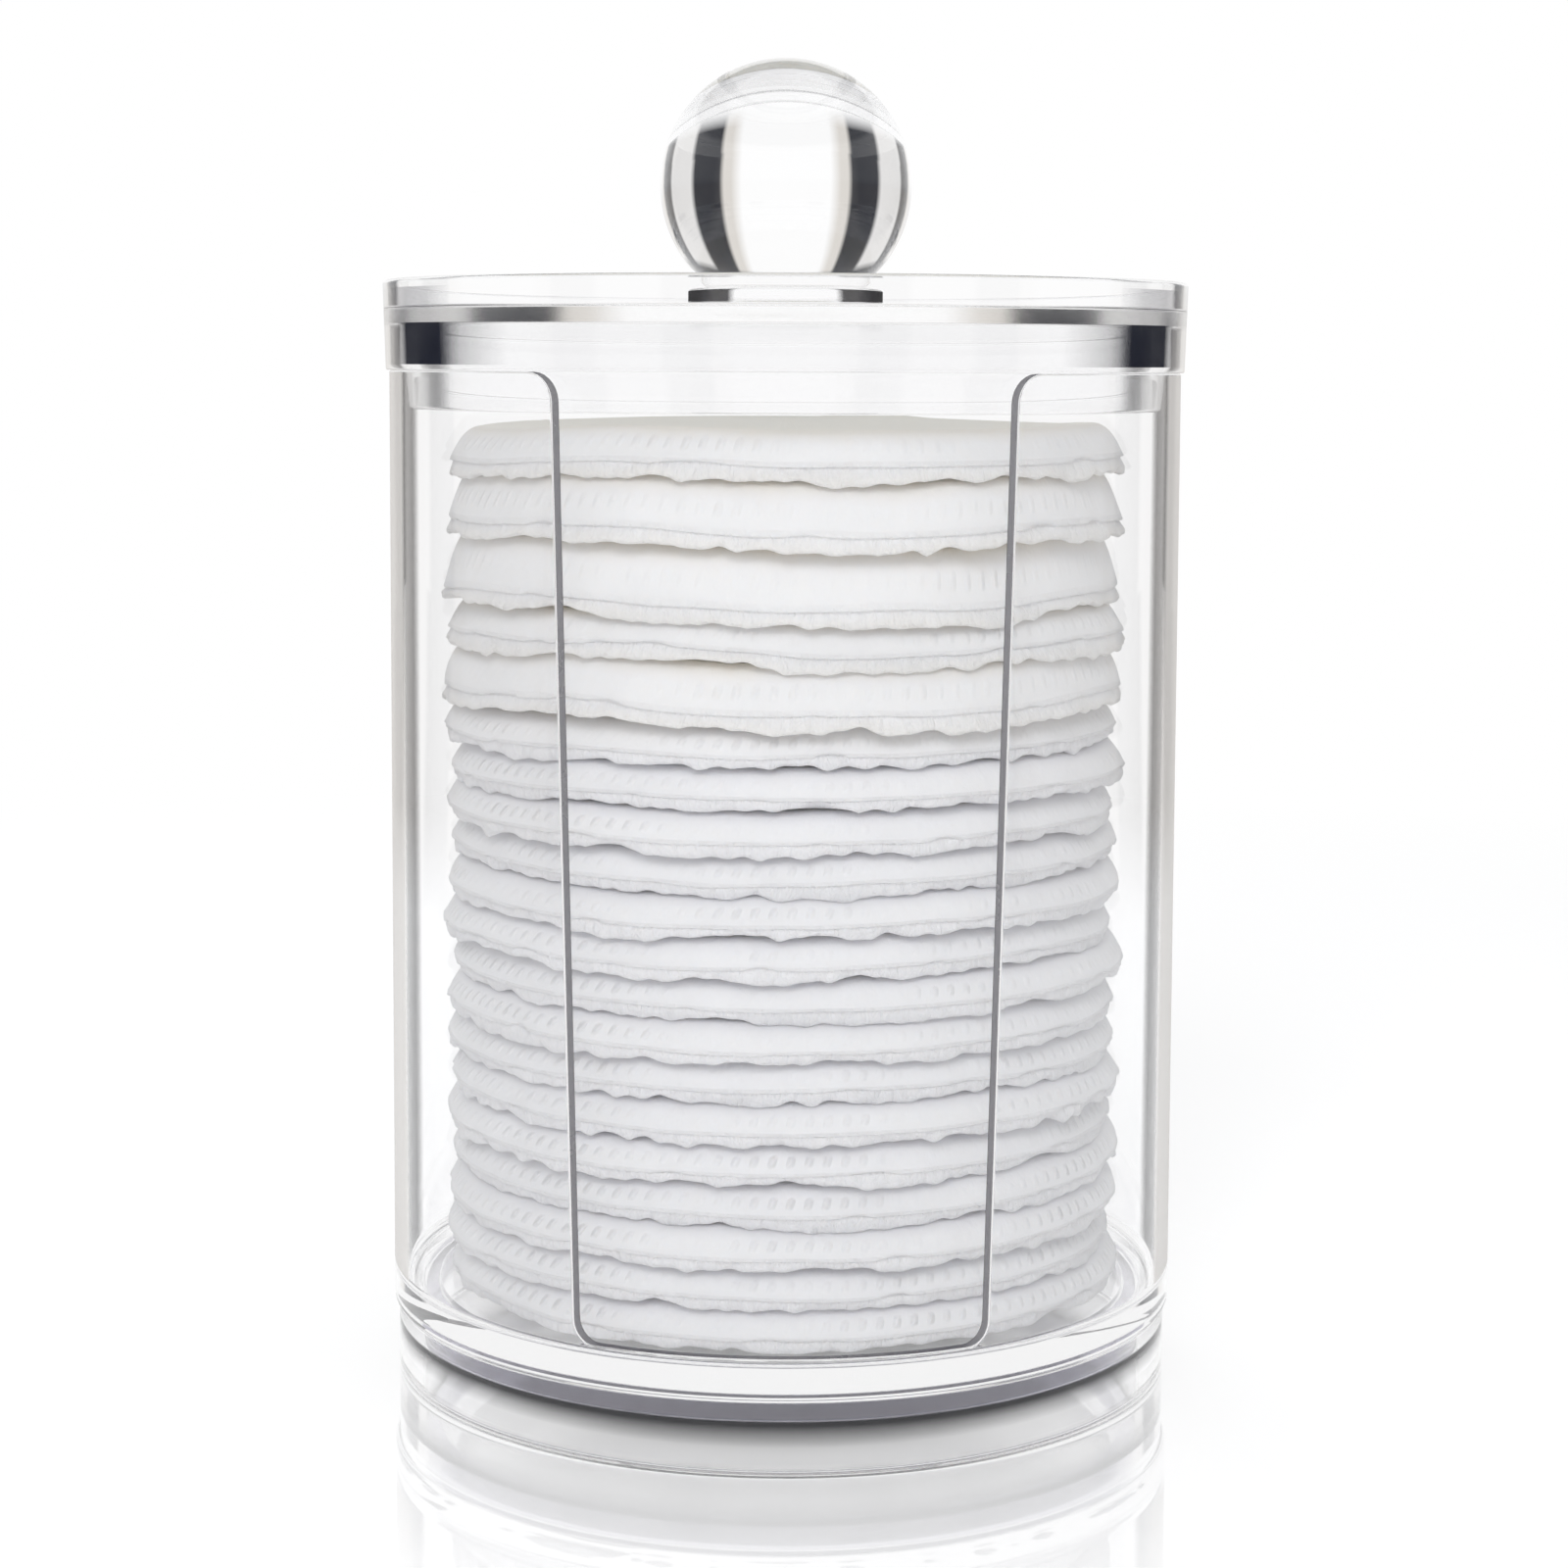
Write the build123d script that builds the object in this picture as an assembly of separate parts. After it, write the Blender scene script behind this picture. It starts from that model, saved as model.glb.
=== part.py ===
"""Cotton pad canister: a clear round body with a dispensing slot, a lift-off lid
with a ball knob, and the stack of cotton pads that it holds.

Millimetres, +Z up. The origin is on the surface that the canister stands on, at
the centre of its foot. The slot faces -Y.
"""
from build123d import *
import math
import os

# ---------------------------------------------------------------- driving sizes
# Cotton pads: the standard round pad that the canister is made for.
PAD_RADIUS = 30.0
PACKED_PADS = 15            # pads in the lower stack, pressed by those above
PACKED_THICKNESS = 3.44
LOOSE_THICKNESSES = (5.0, 3.7, 6.05, 5.35, 4.5)   # upper pads, from the lowest up
PAD_SIDE_DEPTH = 2.1        # how far the soft side rounds in towards the top
PAD_SIDE_BULGE = 0.45       # how far it has rounded in by half its height
PAD_LIP_HEIGHT = 0.9        # height of the pressed lip above the pad's underside
PAD_LIP_STEP = 0.35         # how far the lower sheet stands back under the lip
PAD_UNDER_BEVEL = 0.5       # height of the sloping underside next to the lip
PAD_UNDER_DEPTH = 1.3       # how far that slope runs in
PAD_CROWN = 0.7             # rise of the topmost pad's free upper face
PAD_SHIFT = 0.4             # how far a pad lies off the centre line
PAD_SHIFT_TURN = 137.5      # degrees between the directions of two neighbours

# Canister body.
PAD_CLEARANCE = 3.85        # between a pad's edge and the wall
WALL = 1.15
FLOOR_THICKNESS = 2.5
FLOOR_CORNER = 1.0          # inside corner between floor and wall
BODY_BOTTOM_ROUND = 0.45
STACK_HEADROOM = 4.1        # from the stack's top to the rim

# Dispensing slot, open through the rim. Widths are chords of the outer wall.
SLOT_TOP_WIDTH = 37.6
SLOT_BOTTOM_WIDTH = 33.9
SLOT_SILL = 1.2             # height of the sill above the floor
SLOT_TOP_CORNER = 2.4
SLOT_BOTTOM_CORNER = 1.9

# Foot ring, bonded under the floor round a locating rib.
FOOT_HEIGHT = 6.4
FOOT_STEP = 0.4             # how far the ring stands back from the body
FOOT_WALL = 2.2
FOOT_ROUND = 0.5
RIB_HEIGHT = 2.3
RIB_WALL = 1.3
RIB_CLEARANCE = 0.12

# Lid cap.
LID_OVERHANG = 0.3          # at the seat, past the body's side
LID_FLARE = 0.25            # further out at the raised rim
LID_WALL = 1.15
LID_DEPTH = 4.0             # from the seat up to the plate's underside
LID_PLATE = 1.2
LID_RIM_RISE = 2.6          # raised rim above the plate
LID_ROUND = 0.35
PLUG_CLEARANCE = 0.25       # between plug and chamber wall
PLUG_WALL = 1.2
PLUG_REACH = 3.35           # how far the plug goes into the body
PLUG_DRAFT = 0.3            # how far the plug narrows at its tip
PLUG_ROUND = 0.3

# Ball knob, seated over a round boss on the lid's plate.
BALL_RADIUS = 11.15
BALL_NECK_RADIUS = 6.9     # where the ball meets its foot
KNOB_FOOT_RADIUS = 8.65
KNOB_FOOT_HEIGHT = 2.45
KNOB_FOOT_ROUND = 0.3
BOSS_RADIUS = 5.0
BOSS_HEIGHT = 1.4
BOSS_CLEARANCE = 0.1

# -------------------------------------------------------------- derived sizes
CHAMBER_RADIUS = PAD_RADIUS + PAD_CLEARANCE
BODY_RADIUS = CHAMBER_RADIUS + WALL
PAD_THICKNESSES = (PACKED_THICKNESS,) * PACKED_PADS + LOOSE_THICKNESSES

FLOOR_TOP = FOOT_HEIGHT + FLOOR_THICKNESS
SILL_Z = FLOOR_TOP + SLOT_SILL
RIM_Z = FLOOR_TOP + sum(PAD_THICKNESSES) + STACK_HEADROOM

FOOT_RADIUS = BODY_RADIUS - FOOT_STEP
FOOT_INNER_RADIUS = FOOT_RADIUS - FOOT_WALL
RIB_RADIUS = FOOT_INNER_RADIUS - RIB_CLEARANCE

PLATE_UNDER_Z = RIM_Z + LID_DEPTH
PLATE_TOP_Z = PLATE_UNDER_Z + LID_PLATE
LID_TOP_Z = PLATE_TOP_Z + LID_RIM_RISE
LID_SEAT_RADIUS = BODY_RADIUS + LID_OVERHANG
LID_TOP_RADIUS = LID_SEAT_RADIUS + LID_FLARE
SKIRT_INNER_RADIUS = LID_SEAT_RADIUS - LID_WALL
RIM_INNER_RADIUS = LID_TOP_RADIUS - LID_WALL
PLUG_RADIUS = CHAMBER_RADIUS - PLUG_CLEARANCE
PLUG_INNER_RADIUS = PLUG_RADIUS - PLUG_WALL


def turned(outline, roundings=()):
    """Return the solid of a closed outline of (radius, height), turned about Z.

    roundings is a list of ((radius, height), size), one for each corner of the
    outline that is rounded first.
    """
    face = make_face(outline)
    for corner, size in roundings:
        face = fillet(face.vertices().sort_by_distance(corner)[0], size)
    return revolve(Plane.XZ * face, Axis.Z)


def slot_section(reach):
    """Return the slot's section on the plane y = -reach.

    Its sides lie on rays from the canister's axis, so that the cut faces of the
    wall are radial. It runs on past the rim by the wall's thickness.
    """
    half_top = reach * math.tan(math.asin(SLOT_TOP_WIDTH / 2 / BODY_RADIUS))
    half_bottom = reach * math.tan(math.asin(SLOT_BOTTOM_WIDTH / 2 / BODY_RADIUS))
    lean = (half_top - half_bottom) / (RIM_Z - SILL_Z)
    half_over = half_top + lean * WALL
    outline = Polyline(
        (-half_bottom, SILL_Z),
        (half_bottom, SILL_Z),
        (half_over, RIM_Z + WALL),
        (-half_over, RIM_Z + WALL),
        close=True,
    )
    return Plane.XZ.offset(reach) * make_face(outline)


def slot_corners(body, height):
    """Return the short radial edges of the slot's cut at a height."""
    return [
        edge for edge in body.edges()
        if abs(edge.center().Z - height) < WALL / 100 and edge.length < 2 * WALL
    ]


def canister_body():
    """Slotted cup: wall, floor, and the locating rib under the floor."""
    outline = Polyline(
        (0, FOOT_HEIGHT),
        (RIB_RADIUS - RIB_WALL, FOOT_HEIGHT),
        (RIB_RADIUS - RIB_WALL, FOOT_HEIGHT - RIB_HEIGHT),
        (RIB_RADIUS, FOOT_HEIGHT - RIB_HEIGHT),
        (RIB_RADIUS, FOOT_HEIGHT),
        (BODY_RADIUS, FOOT_HEIGHT),
        (BODY_RADIUS, RIM_Z),
        (CHAMBER_RADIUS, RIM_Z),
        (CHAMBER_RADIUS, FLOOR_TOP),
        (0, FLOOR_TOP),
        close=True,
    )
    cup = turned(outline, [
        ((BODY_RADIUS, FOOT_HEIGHT), BODY_BOTTOM_ROUND),
        ((CHAMBER_RADIUS, FLOOR_TOP), FLOOR_CORNER),
    ])
    inside = slot_section(CHAMBER_RADIUS / 2)
    outside = slot_section(BODY_RADIUS + WALL)
    body = cup - loft([inside, outside], ruled=True)
    body = fillet(slot_corners(body, SILL_Z), SLOT_BOTTOM_CORNER)
    return fillet(slot_corners(body, RIM_Z), SLOT_TOP_CORNER)


def foot_ring():
    """Ring that the canister stands on, bonded to the floor's underside."""
    outline = Polyline(
        (FOOT_INNER_RADIUS, 0),
        (FOOT_RADIUS, 0),
        (FOOT_RADIUS, FOOT_HEIGHT),
        (FOOT_INNER_RADIUS, FOOT_HEIGHT),
        close=True,
    )
    return turned(outline, [
        ((FOOT_INNER_RADIUS, 0), FOOT_ROUND),
        ((FOOT_RADIUS, 0), FOOT_ROUND),
    ])


def lid_cap():
    """Lid: recessed plate, raised rim, skirt on the body's rim, plug and boss."""
    plug_tip = RIM_Z - PLUG_REACH
    boss_top = PLATE_TOP_Z + BOSS_HEIGHT
    outline = Polyline(
        (0, PLATE_UNDER_Z),
        (PLUG_INNER_RADIUS, PLATE_UNDER_Z),
        (PLUG_INNER_RADIUS, plug_tip),
        (PLUG_RADIUS - PLUG_DRAFT, plug_tip),
        (PLUG_RADIUS, RIM_Z),
        (PLUG_RADIUS, PLATE_UNDER_Z),
        (SKIRT_INNER_RADIUS, PLATE_UNDER_Z),
        (SKIRT_INNER_RADIUS, RIM_Z),
        (LID_SEAT_RADIUS, RIM_Z),
        (LID_TOP_RADIUS, LID_TOP_Z),
        (RIM_INNER_RADIUS, LID_TOP_Z),
        (RIM_INNER_RADIUS, PLATE_TOP_Z),
        (BOSS_RADIUS, PLATE_TOP_Z),
        (BOSS_RADIUS, boss_top),
        (0, boss_top),
        close=True,
    )
    return turned(outline, [
        ((PLUG_INNER_RADIUS, plug_tip), PLUG_ROUND),
        ((PLUG_RADIUS - PLUG_DRAFT, plug_tip), PLUG_ROUND),
        ((LID_TOP_RADIUS, LID_TOP_Z), LID_ROUND),
        ((RIM_INNER_RADIUS, LID_TOP_Z), LID_ROUND),
        ((RIM_INNER_RADIUS, PLATE_TOP_Z), LID_ROUND),
    ])


def ball_knob():
    """Solid ball on a short round foot, with a socket for the lid's boss."""
    foot_top = PLATE_TOP_Z + KNOB_FOOT_HEIGHT
    centre_z = foot_top + math.sqrt(BALL_RADIUS ** 2 - BALL_NECK_RADIUS ** 2)
    ball_top = centre_z + BALL_RADIUS
    socket_radius = BOSS_RADIUS + BOSS_CLEARANCE
    socket_top = PLATE_TOP_Z + BOSS_HEIGHT + BOSS_CLEARANCE
    ball = ThreePointArc(
        (BALL_NECK_RADIUS, foot_top),
        (BALL_RADIUS, centre_z),
        (0, ball_top),
    )
    foot = Polyline(
        (0, ball_top),
        (0, socket_top),
        (socket_radius, socket_top),
        (socket_radius, PLATE_TOP_Z),
        (KNOB_FOOT_RADIUS, PLATE_TOP_Z),
        (KNOB_FOOT_RADIUS, foot_top),
        (BALL_NECK_RADIUS, foot_top),
    )
    return turned(ball + foot, [((KNOB_FOOT_RADIUS, foot_top), KNOB_FOOT_ROUND)])


def crown_arc(edge_point, top):
    """Return the arc from a point up to the axis at top, level where it ends."""
    reach, height = edge_point
    rise = top - height
    radius = (reach ** 2 + rise ** 2) / (2 * rise)
    middle = top - radius + math.sqrt(radius ** 2 - (reach / 2) ** 2)
    return ThreePointArc(edge_point, (reach / 2, middle), (0, top))


def cotton_pad(thickness, crown):
    """Round pad lying on z = 0: a soft side over a pressed lip.

    crown is how far the middle of the upper face rises above its edge.
    """
    lip_radius = PAD_RADIUS - PAD_LIP_STEP
    lip = Polyline(
        (0, thickness),
        (0, 0),
        (lip_radius - PAD_UNDER_DEPTH, 0),
        (lip_radius, PAD_UNDER_BEVEL),
        (lip_radius, PAD_LIP_HEIGHT),
        (PAD_RADIUS, PAD_LIP_HEIGHT),
    )
    side_top = (PAD_RADIUS - PAD_SIDE_DEPTH, thickness - crown)
    side_rise = side_top[1] - PAD_LIP_HEIGHT
    side = ThreePointArc(
        (PAD_RADIUS, PAD_LIP_HEIGHT),
        (PAD_RADIUS - PAD_SIDE_BULGE, PAD_LIP_HEIGHT + side_rise / 2),
        side_top,
    )
    top = crown_arc(side_top, thickness) if crown else Line(side_top, (0, thickness))
    return turned(lip + side + top)


def pad_stack():
    """Return the pads from the bottom up, each laid on the one below."""
    pads = []
    underside = FLOOR_TOP
    last = len(PAD_THICKNESSES) - 1
    for index, thickness in enumerate(PAD_THICKNESSES):
        pad = cotton_pad(thickness, PAD_CROWN if index == last else 0)
        turn = math.radians(PAD_SHIFT_TURN * index)
        shift = Pos(PAD_SHIFT * math.cos(turn), PAD_SHIFT * math.sin(turn), underside)
        pads.append(shift * pad)
        underside += thickness
    return pads


def write(name, solid):
    """Write one sub-part as parts/NAME.step."""
    export_step(solid, os.path.join("parts", name + ".step"))


def main():
    """Build every sub-part in its place and write it."""
    os.makedirs("parts", exist_ok=True)
    write("canister_body", canister_body())
    write("foot_ring", foot_ring())
    write("lid_cap", lid_cap())
    write("ball_knob", ball_knob())
    for number, pad in enumerate(pad_stack(), start=1):
        write(f"cotton_pad_{number:02d}", pad)


main()
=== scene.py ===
"""Looks of the cotton pad canister.

A clear round canister with a tall slot, its lift-off lid with a ball knob, the foot
ring under it and the stack of cotton pads inside are modelled here at full detail,
each in the place of its CAD node, and set in a white studio. Sizes of the pieces are
in millimetres and meshes are brought to metres when they are finished.
"""

import logging
import math
from dataclasses import dataclass, field
from enum import Enum, IntEnum
from typing import Iterable, Optional

import bmesh
import bpy
from mathutils import Matrix, Vector, noise


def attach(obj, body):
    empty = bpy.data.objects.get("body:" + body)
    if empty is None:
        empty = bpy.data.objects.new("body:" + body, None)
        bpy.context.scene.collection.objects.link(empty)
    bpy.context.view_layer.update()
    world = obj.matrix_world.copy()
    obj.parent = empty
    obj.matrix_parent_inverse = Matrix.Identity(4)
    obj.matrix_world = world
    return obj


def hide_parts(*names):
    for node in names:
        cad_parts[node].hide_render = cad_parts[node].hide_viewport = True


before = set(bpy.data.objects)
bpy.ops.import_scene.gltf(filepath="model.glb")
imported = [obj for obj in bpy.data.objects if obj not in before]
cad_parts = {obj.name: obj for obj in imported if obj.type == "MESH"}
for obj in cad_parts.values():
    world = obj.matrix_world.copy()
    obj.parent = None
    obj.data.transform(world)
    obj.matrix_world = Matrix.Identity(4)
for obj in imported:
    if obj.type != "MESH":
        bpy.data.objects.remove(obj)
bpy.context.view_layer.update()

LOG = logging.getLogger("canister")
MM = 0.001
Point = tuple[float, float]
Colour = tuple[float, float, float, float]

# How far off a wall a face may lie and still be on it, in millimetres, how far past an
# edge it is sure to be past it, and how near vertices are merged.
ON_WALL = 0.02
PAST = 0.01
MERGE = 0.0005
# A ray let through more often than this came through walls, not through one solid piece.
WALL_DEPTH = 2.5
# What a flat mirror image shows of the far end of the studio.
FAR_GREY: Colour = (0.74, 0.71, 0.68, 1.0)


# ------------------------------------------------------------------ node helpers
def node(tree: bpy.types.NodeTree, kind: str, inputs: Optional[dict] = None,
         **settings: object) -> bpy.types.Node:
    """Add a node to a tree.

    Args:
        tree: the node tree.
        kind: the node's type.
        inputs: for each input, by name or number, a value or the socket to link.
        settings: the node's own options.

    Returns:
        The new node.
    """
    made = tree.nodes.new(kind)
    for key, value in settings.items():
        setattr(made, key, value)
    for key, value in (inputs or {}).items():
        if isinstance(value, bpy.types.NodeSocket):
            tree.links.new(value, made.inputs[key])
        else:
            made.inputs[key].default_value = value
    return made


def maths(tree: bpy.types.NodeTree, operation: str, *values: object) -> bpy.types.NodeSocket:
    """Return the result of a Math node.

    Args:
        tree: the node tree.
        operation: the node's operation.
        values: its inputs in order, each a number or a socket.

    Returns:
        The node's output.
    """
    inputs = dict(enumerate(values))
    return node(tree, "ShaderNodeMath", inputs, operation=operation).outputs[0]


def ramp(tree: bpy.types.NodeTree, factor: bpy.types.NodeSocket,
         stops: Iterable[tuple[float, Colour]]) -> bpy.types.NodeSocket:
    """Return a colour ramp's colour.

    Args:
        tree: the node tree.
        factor: the socket that the ramp reads.
        stops: position and colour of each stop, in order.

    Returns:
        The ramp's colour output.
    """
    made = node(tree, "ShaderNodeValToRGB", {0: factor})
    elements = made.color_ramp.elements
    stops = list(stops)
    for index, (place, colour) in enumerate(stops):
        element = elements[index] if index < 2 else elements.new(place)
        element.position, element.color = place, colour
    return made.outputs["Color"]


def grey(level: float) -> Colour:
    """Return a neutral colour."""
    return (level, level, level, 1.0)


def product(tree: bpy.types.NodeTree, *values: object) -> bpy.types.NodeSocket:
    """Multiply numbers or sockets.

    Args:
        tree: the node tree.
        values: two or more numbers or sockets.

    Returns:
        Their product.
    """
    result, *rest = values
    for value in rest:
        result = maths(tree, "MULTIPLY", result, value)
    return result


def spread(tree: bpy.types.NodeTree, value: bpy.types.NodeSocket, span: Point,
           out: tuple = (0.0, 1.0), smooth: bool = False) -> bpy.types.NodeSocket:
    """Map a span of a value onto another, and keep it within that.

    Args:
        tree: the node tree.
        value: the socket to read.
        span: the two values that are mapped.
        out: what they become, each a number or a socket.
        smooth: whether the change eases in and out.

    Returns:
        The mapped value.
    """
    inputs = {"Value": value, "From Min": span[0], "From Max": span[1],
              "To Min": out[0], "To Max": out[1]}
    return node(tree, "ShaderNodeMapRange", inputs,
                interpolation_type="SMOOTHSTEP" if smooth else "LINEAR").outputs[0]


def cloud(tree: bpy.types.NodeTree, place: bpy.types.NodeSocket, scale: object,
          **options: float) -> bpy.types.NodeSocket:
    """Return a noise texture's value.

    Args:
        tree: the node tree.
        place: where it is read.
        scale: its scale, a number or a socket.
        options: its other inputs by name.

    Returns:
        The noise, about 0 to 1.
    """
    inputs = {"Vector": place, "Scale": scale, **options}
    return node(tree, "ShaderNodeTexNoise", inputs).outputs[0]


def mix_shader(tree: bpy.types.NodeTree, share: object, first: bpy.types.NodeSocket,
               second: bpy.types.NodeSocket) -> bpy.types.NodeSocket:
    """Return a mix of two shaders, with a share from 0 to 1 of the second."""
    return node(tree, "ShaderNodeMixShader", {0: share, 1: first, 2: second}).outputs[0]


def mix_colour(tree: bpy.types.NodeTree, share: object, first: object,
               second: object) -> bpy.types.NodeSocket:
    """Return a mix of two colours, with a share from 0 to 1 of the second."""
    return node(tree, "ShaderNodeMix", {"Factor": share, "A": first, "B": second},
                data_type="RGBA").outputs["Result"]


def white_through_walls(tree: bpy.types.NodeTree, path: bpy.types.Node,
                        colour: bpy.types.NodeSocket) -> bpy.types.NodeSocket:
    """Return a colour that only shows through one solid piece, and white through walls."""
    walls = maths(tree, "GREATER_THAN", path.outputs["Transmission Depth"], WALL_DEPTH)
    return mix_colour(tree, walls, colour, grey(1.0))


def glow(tree: bpy.types.NodeTree, colour: object,
         strength: object = 1.0) -> bpy.types.NodeSocket:
    """Return an emission shader."""
    return node(tree, "ShaderNodeEmission", {"Color": colour, "Strength": strength}).outputs[0]


def bumped(tree: bpy.types.NodeTree, height: bpy.types.NodeSocket) -> bpy.types.NodeSocket:
    """Return the normal of a relief that is given in millimetres."""
    return node(tree, "ShaderNodeBump",
                {"Height": height, "Distance": MM, "Strength": 1.0}).outputs[0]


def new_material(name: str) -> tuple[bpy.types.Material, bpy.types.NodeTree]:
    """Make a material.

    Args:
        name: the material's name.

    Returns:
        The material and its empty node tree.
    """
    made = bpy.data.materials.new(name)
    made.use_nodes = True
    made.node_tree.nodes.clear()
    return made, made.node_tree


def new_group(name: str, inputs: Iterable[tuple[str, float]],
              outputs: Iterable[tuple[str, str]]) -> tuple:
    """Make an empty shader node group.

    Args:
        name: the group's name.
        inputs: name and default value of each number that it takes.
        outputs: name and socket type of each value that it puts out.

    Returns:
        The group, its input node and its output node.
    """
    group = bpy.data.node_groups.new(name, "ShaderNodeTree")
    for label, value in inputs:
        socket = group.interface.new_socket(name=label, in_out="INPUT",
                                            socket_type="NodeSocketFloat")
        socket.default_value = value
    for label, kind in outputs:
        group.interface.new_socket(name=label, in_out="OUTPUT", socket_type=kind)
    return group, group.nodes.new("NodeGroupInput"), group.nodes.new("NodeGroupOutput")


# ------------------------------------------------------------------ mesh helpers
def round_corners(bm: bmesh.types.BMesh,
                  corners: Iterable[tuple[bmesh.types.BMVert, float, int]]) -> None:
    """Round corners of a flat outline.

    Args:
        bm: the mesh that holds the outline.
        corners: vertex, radius and number of segments of each corner.
    """
    for vert, radius, segments in corners:
        bmesh.ops.bevel(bm, geom=[vert], offset=radius, offset_type="OFFSET",
                        segments=segments, profile=0.5, affect="VERTICES", material=-1)


def draw_profile(bm: bmesh.types.BMesh, points: list[tuple], closed: bool = False,
                 start: Optional[bmesh.types.BMVert] = None) -> list[bmesh.types.BMVert]:
    """Draw a profile in the plane x = 0, on the -Y side of the axis.

    Args:
        bm: the mesh to draw in.
        points: radius, height and, where the corner is rounded, its radius.
        closed: whether the last point is joined to the first.
        start: a vertex that the profile goes on from.

    Returns:
        The vertices at the profile's two ends.
    """
    verts = [bm.verts.new((0.0, -p[0], p[1])) for p in points]
    chain = ([start] if start else []) + verts
    for a, b in zip(chain, chain[1:]):
        bm.edges.new((a, b))
    if closed:
        bm.edges.new((chain[-1], chain[0]))
    round_corners(bm, [(v, p[2], 5 if p[2] > 0.2 else 3)
                       for v, p in zip(verts, points) if len(p) > 2])
    return [chain[0], chain[-1]]


def turn(bm: bmesh.types.BMesh, steps: int) -> None:
    """Spin all that the mesh holds once round Z, and close its seam and poles.

    Args:
        bm: the mesh, with profiles in it.
        steps: number of steps of the spin.
    """
    bmesh.ops.spin(bm, geom=bm.verts[:] + bm.edges[:], cent=(0, 0, 0), axis=(0, 0, 1),
                   angle=2 * math.pi, steps=steps, use_merge=True)
    bmesh.ops.remove_doubles(bm, verts=bm.verts, dist=MERGE)


def on_wall(face: bmesh.types.BMFace, radius: float, slack: float = ON_WALL) -> bool:
    """Return whether all corners of a face lie on a round wall."""
    return all(abs(math.hypot(v.co.x, v.co.y) - radius) < slack for v in face.verts)


def finish_mesh(bm: bmesh.types.BMesh, name: str, weighted: bool = True) -> bpy.types.Object:
    """Turn a finished mesh in millimetres into an object of the scene in metres.

    Args:
        bm: the mesh, which is freed.
        name: name of the piece.
        weighted: whether large faces keep their own direction when shaded.

    Returns:
        The object, at the origin.
    """
    bmesh.ops.recalc_face_normals(bm, faces=bm.faces)
    bmesh.ops.scale(bm, vec=(MM, MM, MM), verts=bm.verts)
    mesh = bpy.data.meshes.new(name)
    bm.to_mesh(mesh)
    bm.free()
    mesh.shade_smooth()
    piece = bpy.data.objects.new(name, mesh)
    bpy.context.scene.collection.objects.link(piece)
    if weighted:
        shading = piece.modifiers.new("weighted_normals", "WEIGHTED_NORMAL")
        shading.weight = 100
    return piece


class Body(Enum):
    """CAD bodies that the pieces ride on."""
    CANISTER = "canister"
    LID = "lid"


class Slot(Enum):
    """Material slots of the record."""
    CLEAR = "clear_plastic"
    COTTON = "cotton"


def settle(piece: bpy.types.Object, body: Body, slot: Slot, cad_node: str,
           *materials: bpy.types.Material) -> bpy.types.Object:
    """Give a piece its materials, its body and the CAD node that it stands for.

    Args:
        piece: the new piece.
        body: the CAD body that it rides on.
        slot: the record's material slot; not used.
        cad_node: the CAD node that it replaces.
        materials: its materials, in the order of the faces' material indices.

    Returns:
        The piece.
    """
    for material in materials:
        piece.data.materials.append(material)
    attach(piece, body.value)
    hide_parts(cad_node)
    LOG.info("%s: %d faces, stands for %s", piece.name, len(piece.data.polygons), cad_node)
    return piece


# ------------------------------------------------------------------------ finishes
@dataclass(frozen=True)
class MouldedSurface:
    """Node group: the faint ripple and haze that clear moulded plastic has."""
    name: str = "moulded_surface"
    wear_scale: float = 160.0
    wear_span: Point = (0.45, 0.8)

    def group(self) -> bpy.types.ShaderNodeTree:
        """Make the node group, once.

        Returns:
            The node group.
        """
        if self.name in bpy.data.node_groups:
            return bpy.data.node_groups[self.name]
        tree, given, out = new_group(
            self.name,
            [("Ripple Scale", 45.0), ("Ripple Height", 0.02), ("Clear", 0.01), ("Haze", 0.05)],
            [("Roughness", "NodeSocketFloat"), ("Height", "NodeSocketFloat")],
        )
        place = node(tree, "ShaderNodeTexCoord").outputs["Object"]
        broad = cloud(tree, place, given.outputs["Ripple Scale"], Detail=1.0, Roughness=0.4)
        height = product(tree, broad, given.outputs["Ripple Height"])
        wear = cloud(tree, place, self.wear_scale, Detail=4.0, Roughness=0.6)
        haze = spread(tree, wear, self.wear_span,
                      (given.outputs["Clear"], given.outputs["Haze"]))
        tree.links.new(height, out.inputs["Height"])
        tree.links.new(haze, out.inputs["Roughness"])
        return tree


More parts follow.
